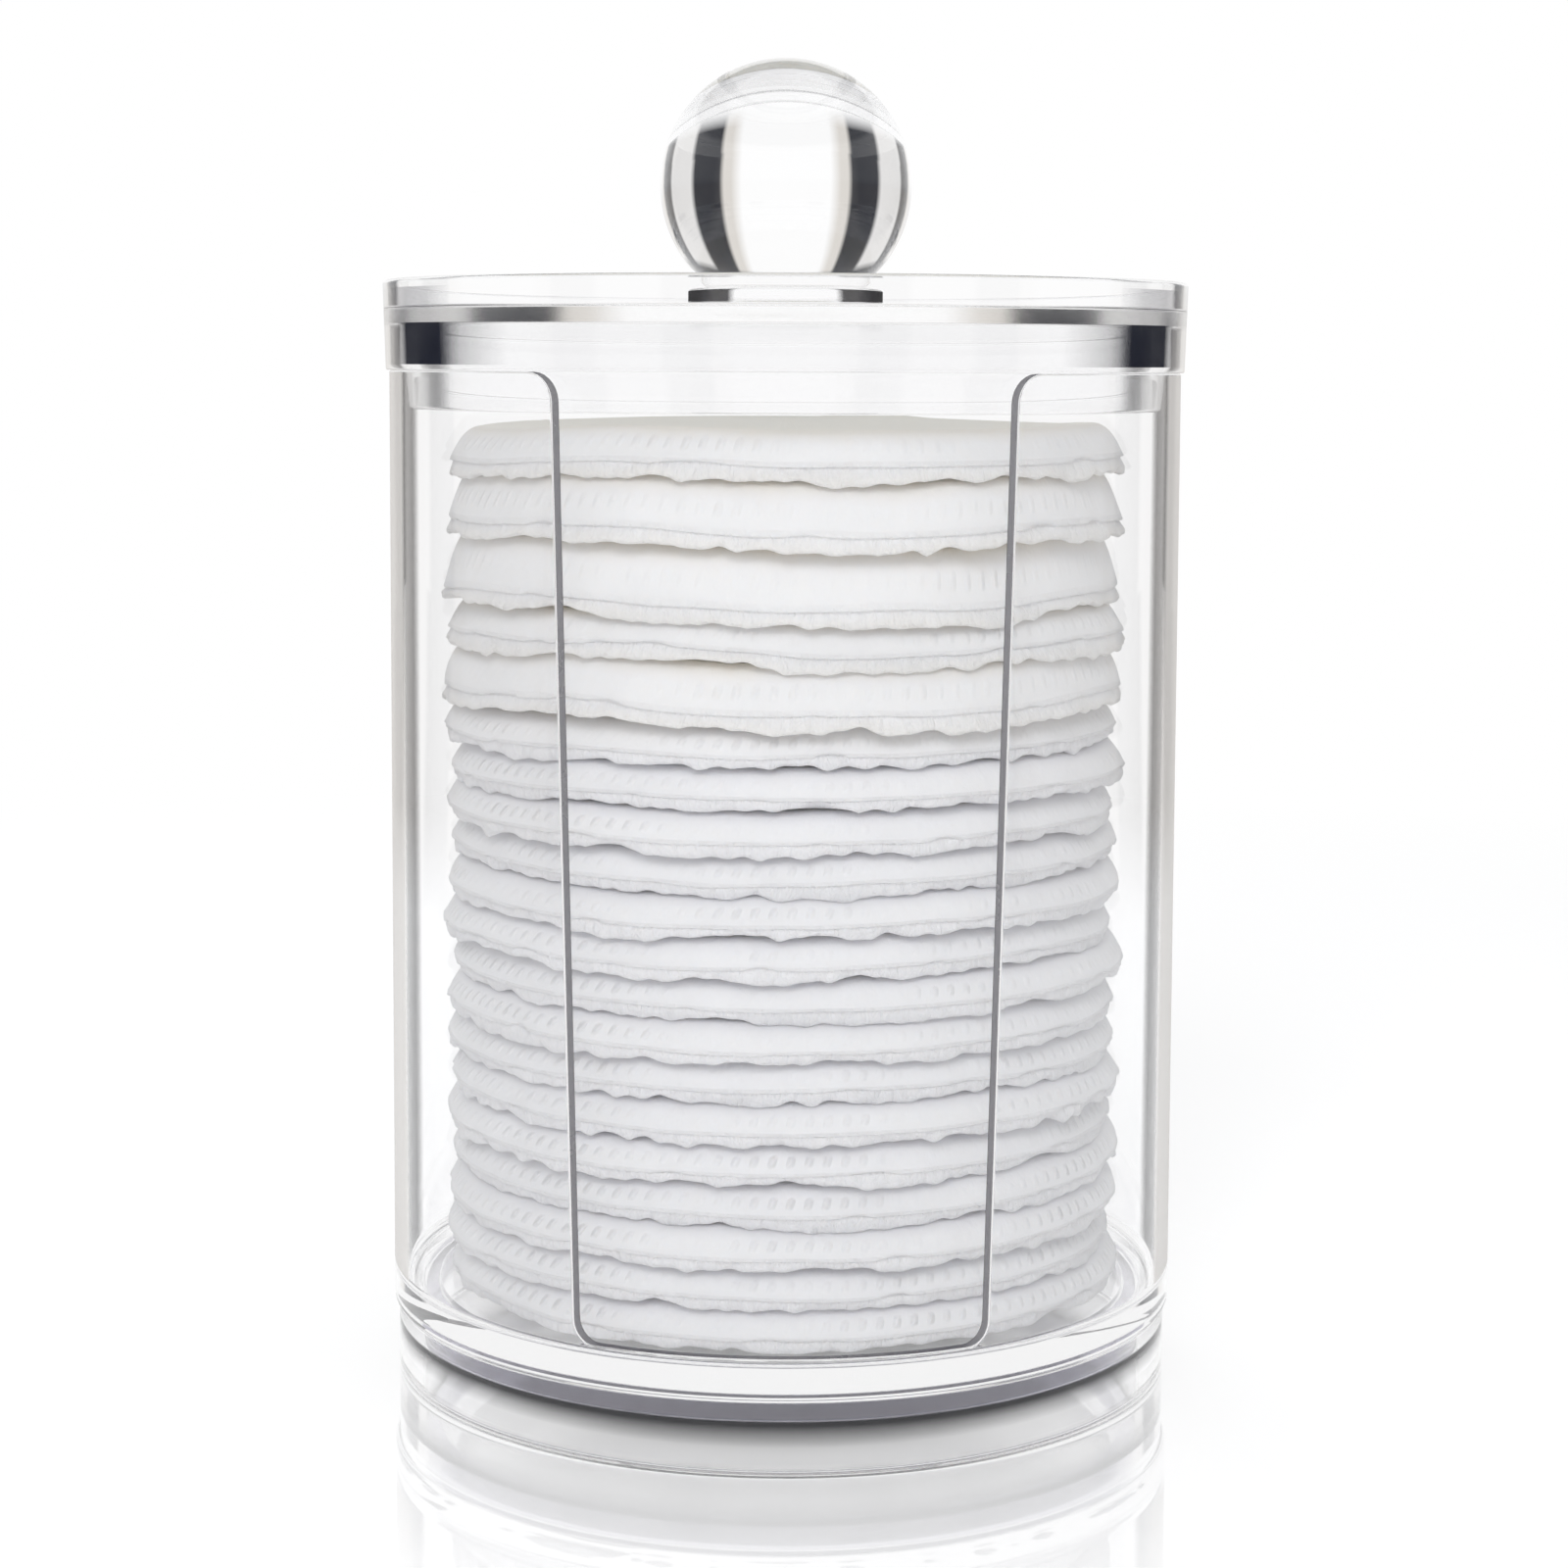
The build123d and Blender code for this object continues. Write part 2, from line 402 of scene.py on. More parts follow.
@dataclass(frozen=True)
class ClearPlastic:
    """Clear styrene-like plastic.

    Attributes:
        name: the material's name.
        ripple_scale: features of the ripple per metre.
        ripple_height: height of the ripple in millimetres.
        clear: roughness of the clearest places.
        haze: roughness of the haziest places.
        shade: how much light one wall lets through to what it shadows.
        tint: colour of the plastic.
        ior: its index of refraction.
        edge: share of the painted colour at each slant, as slant and share, if it is: painted
            shade, or on the outer wall a pale painted reflection, in place of what the plastic's
            refraction shows near its edges.
        painted_shade_bands: share of painted shade at each height in millimetres, if it is.
        painted_colour: the painted colour: dark for painted shade, pale for a painted reflection.
        bounces: reflections inside the plastic after which it glows a plain white, painted light in
            place of what it would show.
        painted_glow_level: how bright that painted glow is.
    """
    name: str
    ripple_scale: float = 45.0
    ripple_height: float = 0.02
    clear: float = 0.0
    haze: float = 0.03
    shade: float = 0.97
    tint: Colour = (0.995, 0.995, 0.998, 1.0)
    ior: float = 1.5
    edge: tuple[Point, ...] = ()
    painted_shade_bands: tuple[Point, ...] = ()
    painted_colour: Colour = (0.02, 0.022, 0.035, 1.0)
    bounces: int = 4
    painted_glow_level: float = 0.9

    def painted_share(self, tree: bpy.types.NodeTree) -> bpy.types.NodeSocket:
        """Paint a face with shade, or with a pale reflection, by its height or by its slant.

        Args:
            tree: the material's node tree.

        Returns:
            Share of the painted colour, 0 to 1.
        """
        if self.painted_shade_bands:
            place = node(tree, "ShaderNodeTexCoord").outputs["Object"]
            height = node(tree, "ShaderNodeSeparateXYZ", {0: place}).outputs["Z"]
            top = self.painted_shade_bands[-1][0]
            return ramp(tree, maths(tree, "DIVIDE", height, top * MM),
                        [(z / top, grey(dark)) for z, dark in self.painted_shade_bands])
        slant = node(tree, "ShaderNodeLayerWeight", {"Blend": 0.5}).outputs["Facing"]
        return ramp(tree, slant, [(place, grey(dark)) for place, dark in self.edge])

    def material(self) -> bpy.types.Material:
        """Make the material.

        Returns:
            The finished material.
        """
        made, tree = new_material(self.name)
        surface = node(tree, "ShaderNodeGroup",
                       {"Ripple Scale": self.ripple_scale,
                        "Ripple Height": self.ripple_height,
                        "Clear": self.clear, "Haze": self.haze},
                       node_tree=MouldedSurface().group())
        shown = node(tree, "ShaderNodeBsdfPrincipled",
                     {"Base Color": self.tint, "IOR": self.ior, "Transmission Weight": 1.0,
                      "Roughness": surface.outputs["Roughness"],
                      "Normal": bumped(tree, surface.outputs["Height"])}).outputs[0]
        # Painted shade: a dull diffuse colour is laid over the clear plastic by slant or height, in
        # place of the dark surroundings that refraction shows; pale on the outer wall, a painted
        # reflection.
        if self.edge or self.painted_shade_bands:
            dark = node(tree, "ShaderNodeBsdfDiffuse", {"Color": self.painted_colour})
            shown = mix_shader(tree, self.painted_share(tree), shown, dark.outputs[0])
        path = node(tree, "ShaderNodeLightPath")
        # Painted light: after that many reflections inside, the plastic glows a plain white.
        spent = maths(tree, "GREATER_THAN", path.outputs["Glossy Depth"], self.bounces - 0.5)
        shown = mix_shader(tree, spent, shown, glow(tree, grey(self.painted_glow_level)))
        clear = node(tree, "ShaderNodeBsdfTransparent", {"Color": grey(self.shade)})
        passing = maths(tree, "MAXIMUM", path.outputs["Is Shadow Ray"],
                        path.outputs["Is Diffuse Ray"])
        mix = mix_shader(tree, passing, shown, clear.outputs[0])
        node(tree, "ShaderNodeOutputMaterial", {"Surface": mix})
        return made


@dataclass(frozen=True)
class CottonFibre:
    """Node group: fibres, lint and the rows of pressed dimples of a cotton pad.

    Attributes:
        name: the group's name.
        dimple_count: dimples in one row round the pad.
        dimple_lean: how far a dimple leans from its foot to its top.
        dimple_power: how sharp a dimple is.
        row_middle: place of the row on the pad's side, from 0 to 1.
        row_span: how far from there the row fades, and where it ends.
        patch_scale: features per metre of the patches where dimples show.
        fibre_scale: features of the fibres per metre.
        fold_turns: features of the folds round the pad.
        fold_rise: features of the folds per metre of height.
        fold_scale: a scale of both.
        low_span: part of the side that is folded.
        mottle_scale: features of the mottle per metre.
    """
    name: str = "cotton_fibre"
    dimple_count: int = 122
    dimple_lean: float = 3.4
    dimple_power: float = 1.3
    row_middle: float = 0.45
    row_span: Point = (0.03, 0.21)
    patch_scale: float = 70.0
    fibre_scale: float = 1900.0
    fold_turns: float = 26.0
    fold_rise: float = 420.0
    fold_scale: float = 1.6
    low_span: Point = (0.0, 0.12)
    mottle_scale: float = 220.0

    def group(self) -> bpy.types.ShaderNodeTree:
        """Make the node group, once.

        Returns:
            The node group.
        """
        if self.name in bpy.data.node_groups:
            return bpy.data.node_groups[self.name]
        tree, given, out = new_group(
            self.name,
            [("Fibre Height", 0.03), ("Dimple Height", 0.08), ("Crease Height", 0.4)],
            [("Height", "NodeSocketFloat"), ("Mottle", "NodeSocketFloat")],
        )
        place = node(tree, "ShaderNodeTexCoord").outputs["Object"]
        parts = node(tree, "ShaderNodeSeparateXYZ", {0: place})
        side = node(tree, "ShaderNodeAttribute", attribute_name="side").outputs["Fac"]
        around = maths(tree, "ARCTAN2", parts.outputs["X"], product(tree, parts.outputs["Y"], -1.0))
        row = maths(tree, "MULTIPLY_ADD", side, -self.dimple_lean,
                    product(tree, around, float(self.dimple_count)))
        crest = maths(tree, "POWER", maths(tree, "MAXIMUM", maths(tree, "SINE", row), 0.0),
                      self.dimple_power)
        off_row = maths(tree, "ABSOLUTE", maths(tree, "SUBTRACT", side, self.row_middle))
        window = spread(tree, off_row, self.row_span, (1.0, 0.0), smooth=True)
        patches = cloud(tree, place, self.patch_scale, Detail=1.0)
        strength = spread(tree, patches, (0.4, 0.68), (0.1, 1.0))
        dimples = product(tree, crest, window, strength, given.outputs["Dimple Height"])
        fibres = cloud(tree, place, self.fibre_scale, Detail=3.0, Roughness=0.6,
                       Distortion=0.6)
        lint = product(tree, fibres, given.outputs["Fibre Height"])
        turned = node(tree, "ShaderNodeCombineXYZ",
                      {"X": product(tree, around, self.fold_turns), "Y": side,
                       "Z": product(tree, parts.outputs["Z"], self.fold_rise)}).outputs[0]
        folds = cloud(tree, turned, self.fold_scale, Detail=3.0, Roughness=0.65,
                      Distortion=0.4)
        low = spread(tree, side, self.low_span, (1.0, 0.12))
        creases = product(tree, folds, low, given.outputs["Crease Height"])
        relief = maths(tree, "ADD", maths(tree, "ADD", dimples, lint), creases)
        mottle = cloud(tree, place, self.mottle_scale, Detail=3.0)
        tree.links.new(relief, out.inputs["Height"])
        tree.links.new(mottle, out.inputs["Mottle"])
        return tree


@dataclass(frozen=True)
class Cotton:
    """White cotton.

    Attributes:
        name: the material's name.
        fibre: colour of the open side.
        shade: painted shade on the upper part of the side, under the pad above.
        painted_recess_shading: painted light deep in the gap under a pad, brighter than the painted
            shade.
        dimple_height: height of the pressed dimples in millimetres.
        crease_height: height of the folds of the lower edge in millimetres.
        fibre_height: height of the fibres in millimetres.
        mottle: how unevenly one colour goes over to the next.
    """
    name: str
    fibre: Colour
    shade: Colour
    painted_recess_shading: Colour
    dimple_height: float = 0.26
    crease_height: float = 0.45
    fibre_height: float = 0.03
    mottle: float = 0.3

    def material(self) -> bpy.types.Material:
        """Make the material.

        Returns:
            The finished material.
        """
        made, tree = new_material(self.name)
        cloth = node(tree, "ShaderNodeGroup",
                     {"Fibre Height": self.fibre_height, "Dimple Height": self.dimple_height,
                      "Crease Height": self.crease_height},
                     node_tree=CottonFibre().group())
        # Painted shade and light: the colour goes from the fibre colour through a greyer painted
        # shade to a brighter painted light, the deeper the side lies in the gap under the pad
        # above.
        painted_recess_shading = node(tree, "ShaderNodeAttribute", attribute_name="painted_recess_shading").outputs["Fac"]
        uneven = maths(tree, "SUBTRACT", cloth.outputs["Mottle"], 0.5)
        depth = maths(tree, "ADD", painted_recess_shading, product(tree, uneven, self.mottle))
        colour = ramp(tree, depth, [(0.0, self.fibre), (0.5, self.shade), (0.95, self.painted_recess_shading)])
        surface = node(tree, "ShaderNodeBsdfPrincipled",
                       {"Base Color": colour, "Roughness": 0.95, "Specular IOR Level": 0.15,
                        "Sheen Weight": 0.15, "Sheen Roughness": 0.5,
                        "Subsurface Weight": 0.6, "Subsurface Scale": 0.003,
                        "Subsurface Radius": (1.0, 0.95, 0.9),
                        "Normal": bumped(tree, cloth.outputs["Height"])})
        node(tree, "ShaderNodeOutputMaterial", {"Surface": surface.outputs[0]})
        return made


@dataclass(frozen=True)
class SideCards:
    """Node group: the grey and dark cards that stand between the four white screens."""
    name: str = "side_cards"
    white: Colour = (1.0, 1.0, 1.0, 1.0)
    warm: Colour = (0.72, 0.69, 0.65, 1.0)
    dark: Colour = (0.012, 0.014, 0.022, 1.0)
    pale: Colour = (0.80, 0.79, 0.78, 1.0)

    def group(self) -> bpy.types.ShaderNodeTree:
        """Make the node group, once: what stands in a direction.

        Returns:
            The node group.
        """
        if self.name in bpy.data.node_groups:
            return bpy.data.node_groups[self.name]
        tree, given, out = new_group(self.name, [("East", 0.0), ("North", 0.0)],
                                     [("Colour", "NodeSocketColor")])
        turned = maths(tree, "ARCTAN2", given.outputs["East"], given.outputs["North"])
        quarter = maths(tree, "FRACT",
                        maths(tree, "MULTIPLY_ADD", turned, 2 / math.pi, 0.5))
        off_axis = product(tree, 90.0, maths(tree, "ABSOLUTE",
                                             maths(tree, "SUBTRACT", quarter, 0.5)))
        colour = ramp(tree, maths(tree, "DIVIDE", off_axis, 45.0), [
            (0.0, self.white), (0.30, self.white), (0.38, self.warm), (0.44, self.warm),
            (0.48, self.dark), (0.75, self.dark), (0.81, self.pale), (1.0, self.pale)])
        tree.links.new(colour, out.inputs["Colour"])
        return tree

    def around(self, tree: bpy.types.NodeTree, way: bpy.types.Node) -> bpy.types.NodeSocket:
        """Return the colour that stands in the direction that a Separate XYZ node holds."""
        return node(tree, "ShaderNodeGroup",
                    {"East": way.outputs["X"], "North": way.outputs["Y"]},
                    node_tree=self.group()).outputs["Colour"]


@dataclass(frozen=True)
class StudioFloor:
    """Glossy white table top, the same white as the backdrop.

    Attributes:
        name: the material's name.
        gloss: strength of the mirror image at a flat angle.
        gloss_power: how fast it weakens towards a steep one.
        gloss_least: its strength from straight above.
        roughness: roughness of the mirror image.
        lift: light that the table gives off, so that it meets the backdrop.
        painted_shadow_reach: radii between which the painted contact shadow under the canister
            fades, in millimetres.
        painted_shadow_levels: brightness inside and outside of it.
        mirror_reach: radii between which the mirror image fades, in millimetres.
        mirror_least: what is left of it outside.
        white_reach: distance in metres where plain white begins.
        white_fade: length of the change to it, in metres.
    """
    name: str = "studio_floor"
    gloss: float = 0.95
    gloss_power: float = 2.2
    gloss_least: float = 0.02
    roughness: float = 0.02
    lift: float = 0.36
    painted_shadow_reach: Point = (23.0, 28.5)
    painted_shadow_levels: Point = (0.55, 0.98)
    mirror_reach: Point = (38.0, 78.0)
    mirror_least: float = 0.12
    white_reach: float = 0.26
    white_fade: float = 0.12

    def near(self, tree: bpy.types.NodeTree, away: bpy.types.NodeSocket,
             seen: bpy.types.NodeSocket) -> bpy.types.NodeSocket:
        """Return the table's own shader: matt white, a painted contact shadow and mirror image.

        Args:
            tree: the material's node tree.
            away: distance from the axis.
            seen: 1 for rays that show the table, 0 for those that only light by it.

        Returns:
            The shader.
        """
        # Painted shadow: the table's colour, glow and mirror image are darkened under the canister.
        shade_in, shade_out = (reach * MM for reach in self.painted_shadow_reach)
        painted_contact_shadow = spread(tree, away, (shade_in, shade_out), self.painted_shadow_levels, smooth=True)
        matt = node(tree, "ShaderNodeBsdfDiffuse", {"Color": painted_contact_shadow})
        lift = glow(tree, grey(1.0), product(tree, seen, self.lift, painted_contact_shadow))
        lifted = node(tree, "ShaderNodeAddShader", {0: matt.outputs[0], 1: lift})
        mirror = node(tree, "ShaderNodeBsdfGlossy",
                      {"Color": grey(1.0), "Roughness": self.roughness})
        slant = node(tree, "ShaderNodeLayerWeight", {"Blend": 0.5}).outputs["Facing"]
        gloss = maths(tree, "MULTIPLY_ADD", maths(tree, "POWER", slant, self.gloss_power),
                      self.gloss, self.gloss_least)
        mirror_in, mirror_out = (reach * MM for reach in self.mirror_reach)
        fading = spread(tree, away, (mirror_in, mirror_out), (1.0, self.mirror_least),
                        smooth=True)
        return mix_shader(tree, product(tree, gloss, fading, painted_contact_shadow), lifted.outputs[0],
                          mirror.outputs[0])

    def material(self) -> bpy.types.Material:
        """Make the material.

        Returns:
            The finished material.
        """
        made, tree = new_material(self.name)
        path = node(tree, "ShaderNodeLightPath")
        place = node(tree, "ShaderNodeTexCoord").outputs["Object"]
        away = node(tree, "ShaderNodeVectorMath", {0: place}, operation="LENGTH").outputs["Value"]
        far = spread(tree, away, (self.white_reach, self.white_reach + self.white_fade))
        unseen = maths(tree, "MAXIMUM", path.outputs["Is Diffuse Ray"],
                       path.outputs["Is Shadow Ray"])
        seen = maths(tree, "SUBTRACT", 1.0, unseen)
        seen_far = product(tree, far, seen)
        table = mix_shader(tree, seen_far, self.near(tree, away, seen), glow(tree, grey(1.0)))
        cards = SideCards().around(tree, node(tree, "ShaderNodeSeparateXYZ", {0: place}))
        sides = glow(tree, white_through_walls(tree, path, cards))
        through = product(tree, far, path.outputs["Is Transmission Ray"])
        shown = mix_shader(tree, through, table, sides)
        mirrored = product(tree, seen_far, path.outputs["Is Reflection Ray"])
        surface = mix_shader(tree, mirrored, shown, glow(tree, FAR_GREY))
        node(tree, "ShaderNodeOutputMaterial", {"Surface": surface})
        return made


# -------------------------------------------------------------------- clear pieces
class BodyZone(IntEnum):
    """Zones of the canister's faces, by their finish; all but the plain zone carry painted shade or
    a painted reflection.
    """
    PLAIN = 0
    CUT = 1
    INNER = 2
    RIB = 3
    LINE = 4
    OUTER = 5


@dataclass
class CanisterBody:
    """Slotted cup with its floor and the locating rib under it."""
    radius: float = 35.0
    wall: float = 1.15
    rim_z: float = 89.16
    base_z: float = 6.4
    floor_top: float = 8.9
    floor_corner: float = 1.0
    sill_z: float = 10.1
    slot_top: float = 37.6
    slot_bottom: float = 33.9
    top_corner: float = 2.4
    bottom_corner: float = 1.9
    corner_steps: int = 7
    rib_radius: float = 32.28
    rib_wall: float = 1.3
    rib_height: float = 2.3
    edge: float = 0.15
    join_z: float = 10.0
    steps: int = 240
    finish: ClearPlastic = field(default_factory=lambda: ClearPlastic("clear_body"))
    # Painted reflection: a pale beige band where the outer wall is seen at a slant, in place of the
    # light that is reflected inside the wall.
    outer_finish_painted_reflection: ClearPlastic = field(
        default_factory=lambda: ClearPlastic(
            "clear_outer_painted_reflection", edge=((0.735, 0.0), (0.765, 0.75), (1.0, 0.75)),
            painted_colour=(0.95, 0.92, 0.885, 1.0)))
    # Painted shade: the slot's cut faces are painted a dull dark grey, in place of what refraction
    # shows through them; their haze is the cut's own roughness.
    cut_finish_painted_shade: ClearPlastic = field(
        default_factory=lambda: ClearPlastic("clear_cut_painted_shade", clear=0.2, haze=0.35,
                                             edge=((0.0, 0.78), (1.0, 0.85)),
                                             painted_colour=(0.13, 0.125, 0.145, 1.0)))
    # Painted shade: the slot's eased edge is painted almost black, a thin dark line in place of the
    # dark that refraction shows there.
    line_painted_shade: ClearPlastic = field(
        default_factory=lambda: ClearPlastic("clear_line_painted_shade", edge=((0.0, 0.97), (1.0, 0.97)),
                                             painted_colour=(0.004, 0.004, 0.006, 1.0)))
    # Painted shade: the inner wall is painted almost black where it is seen at a slant, a dark line
    # in place of the dark that its inner reflection shows.
    inner_finish_painted_shade: ClearPlastic = field(
        default_factory=lambda: ClearPlastic(
            "clear_inner_painted_shade", edge=((0.72, 0.0), (0.78, 0.97), (1.0, 0.97)),
            painted_colour=(0.01, 0.011, 0.018, 1.0)))
    # Painted shade: the rib is tinted a dark blue-grey, so that what is seen through it is
    # darkened, in place of the dark band that refraction shows there.
    rib_finish_painted_shade: ClearPlastic = field(
        default_factory=lambda: ClearPlastic("clear_rib_painted_shade", ripple_scale=160.0,
                                             ripple_height=0.12,
                                             tint=(0.28, 0.27, 0.34, 1.0)))

    def arc(self, chord: float) -> float:
        """Return half the outer wall's arc over a chord."""
        return self.radius * math.asin(chord / 2 / self.radius)

    def flat_wall(self, bm: bmesh.types.BMesh) -> None:
        """Cut the wall flat: a long sheet with the slot's notch, and its edges eased.

        Args:
            bm: the mesh to make it in; x is the way round the wall, y its depth.
        """
        end = math.pi * self.radius
        top, low = self.arc(self.slot_top), self.arc(self.slot_bottom)
        outline = [(-end, self.join_z), (end, self.join_z), (end, self.rim_z),
                   (top, self.rim_z), (low, self.sill_z), (-low, self.sill_z),
                   (-top, self.rim_z), (-end, self.rim_z)]
        verts = [bm.verts.new((x, 0.0, z)) for x, z in outline]
        bm.faces.new(verts)
        top_corners = [(verts[i], self.top_corner, self.corner_steps) for i in (3, 6)]
        low_corners = [(verts[i], self.bottom_corner, self.corner_steps) for i in (4, 5)]
        round_corners(bm, top_corners + low_corners)
        front = bm.faces[:]
        grown = bmesh.ops.extrude_face_region(bm, geom=front)["geom"]
        back = [g for g in grown if isinstance(g, bmesh.types.BMVert)]
        bmesh.ops.translate(bm, vec=(0, self.wall, 0), verts=back)
        rims = [e for e in bm.edges
                if abs(e.verts[0].co.y - e.verts[1].co.y) < 1e-6
                and min(v.co.z for v in e.verts) > self.join_z + PAST
                and max(abs(v.co.x) for v in e.verts) < end + 1e-6
                and not all(abs(abs(v.co.x) - end) < 1e-6 for v in e.verts)]
        bmesh.ops.bevel(bm, geom=rims, offset=self.edge, offset_type="OFFSET", segments=2,
                        profile=0.5, affect="EDGES", material=-1, clamp_overlap=True)
        bm.normal_update()
        # Faces that look along the wall are the slot's cut, painted grey; the slanted ones outside
        # it are its eased edge, painted as a thin dark line: painted shade in place of what
        # refraction shows.
        for face in bm.faces:
            middle = face.calc_center_median()
            if abs(middle.x) < top + self.top_corner and middle.z > self.join_z + PAST:
                if abs(face.normal.y) < 0.3:
                    face.material_index = BodyZone.CUT
                elif -0.97 < face.normal.y < 0.0 and middle.z < self.rim_z - self.edge:
                    face.material_index = BodyZone.LINE

    def bend(self, bm: bmesh.types.BMesh) -> None:
        """Roll the flat wall round the axis, the middle of its slot to -Y.

        Args:
            bm: the mesh that holds the flat wall alone.
        """
        end = math.pi * self.radius
        for index in range(1, self.steps):
            place = -end + 2 * end * index / self.steps
            bmesh.ops.bisect_plane(bm, geom=bm.verts[:] + bm.edges[:] + bm.faces[:],
                                   dist=1e-4, plane_co=(place, 0, 0), plane_no=(1, 0, 0))
        # The sheet's two ends meet at the back, and its foot stands on the cup, so they open.
        ends = [f for f in bm.faces
                if all(abs(abs(v.co.x) - end) < 1e-3 for v in f.verts)
                or all(abs(v.co.z - self.join_z) < 1e-3 for v in f.verts)]
        bmesh.ops.delete(bm, geom=ends, context="FACES")
        for vert in bm.verts:
            angle, reach = vert.co.x / self.radius, self.radius - vert.co.y
            vert.co.x, vert.co.y = reach * math.sin(angle), -reach * math.cos(angle)
        bmesh.ops.remove_doubles(bm, verts=bm.verts, dist=MERGE)

    def build(self) -> bpy.types.Object:
        """Build the piece.

        Returns:
            The finished piece.
        """
        bm = bmesh.new()
        self.flat_wall(bm)
        self.bend(bm)
        cup = bmesh.new()
        rib_in = self.rib_radius - self.rib_wall
        rib_z = self.base_z - self.rib_height
        draw_profile(cup, [
            (self.radius, self.join_z), (self.radius, self.base_z, 0.45),
            (self.rib_radius, self.base_z, 0.1), (self.rib_radius, rib_z, 0.15),
            (rib_in, rib_z, 0.15), (rib_in, self.base_z, 0.1), (0.0, self.base_z)])
        draw_profile(cup, [
            (0.0, self.floor_top), (self.radius - self.wall, self.floor_top,
                                    self.floor_corner),
            (self.radius - self.wall, self.join_z)])
        turn(cup, self.steps)
        lower = bpy.data.meshes.new("lower")
        cup.to_mesh(lower)
        cup.free()
        bm.from_mesh(lower)
        bpy.data.meshes.remove(lower)
        bmesh.ops.remove_doubles(bm, verts=bm.verts, dist=0.002)
        for face in bm.faces:
            low = min(v.co.z for v in face.verts)
            spots = [(math.hypot(v.co.x, v.co.y), v.co.z) for v in face.verts]
            if on_wall(face, self.radius - self.wall):
                face.material_index = BodyZone.INNER
            elif on_wall(face, self.radius) and low > self.join_z - ON_WALL:
                face.material_index = BodyZone.OUTER
            elif all(rib_in - ON_WALL < r < self.rib_radius + ON_WALL
                     and z < self.base_z + ON_WALL for r, z in spots):
                face.material_index = BodyZone.RIB
        piece = finish_mesh(bm, "canister_body_clear")
        finishes = (self.finish, self.cut_finish_painted_shade, self.inner_finish_painted_shade, self.rib_finish_painted_shade,
                    self.line_painted_shade, self.outer_finish_painted_reflection)
        return settle(piece, Body.CANISTER, Slot.CLEAR, "canister_body",
                      *(finish.material() for finish in finishes))


@dataclass
class FootRing:
    """Clear ring that the canister stands on."""
    radius: float = 34.6
    wall: float = 2.2
    height: float = 6.36
    rounding: float = 0.5
    steps: int = 240
    finish: ClearPlastic = field(default_factory=lambda: ClearPlastic("clear_foot"))
    # Painted shade: a dark line is painted on the ring's inner face at about 3 to 4.5 mm, with a
    # soft lower edge, in place of the shade under the canister that is seen through the ring.
    inner_finish_painted_shade: ClearPlastic = field(
        default_factory=lambda: ClearPlastic(
            "clear_foot_inner_painted_shade", painted_shade_bands=((0.0, 0.0), (2.2, 0.0), (3.2, 0.45), (4.0, 0.97),
                                       (4.3, 0.95), (4.5, 0.0), (6.5, 0.0)),
            painted_colour=(0.008, 0.008, 0.012, 1.0)))

    def build(self) -> bpy.types.Object:
        """Build the piece.

        Returns:
            The finished piece.
        """
        bm = bmesh.new()
        inner = self.radius - self.wall
        draw_profile(bm, [(inner, 0.0, self.rounding), (self.radius, 0.0, self.rounding),
                          (self.radius, self.height, 0.12), (inner, self.height, 0.12)],
                     closed=True)
        turn(bm, self.steps)
        for face in bm.faces:
            face.material_index = int(on_wall(face, inner))
        piece = finish_mesh(bm, "foot_ring_clear")
        return settle(piece, Body.CANISTER, Slot.CLEAR, "foot_ring", self.finish.material(),
                      self.inner_finish_painted_shade.material())


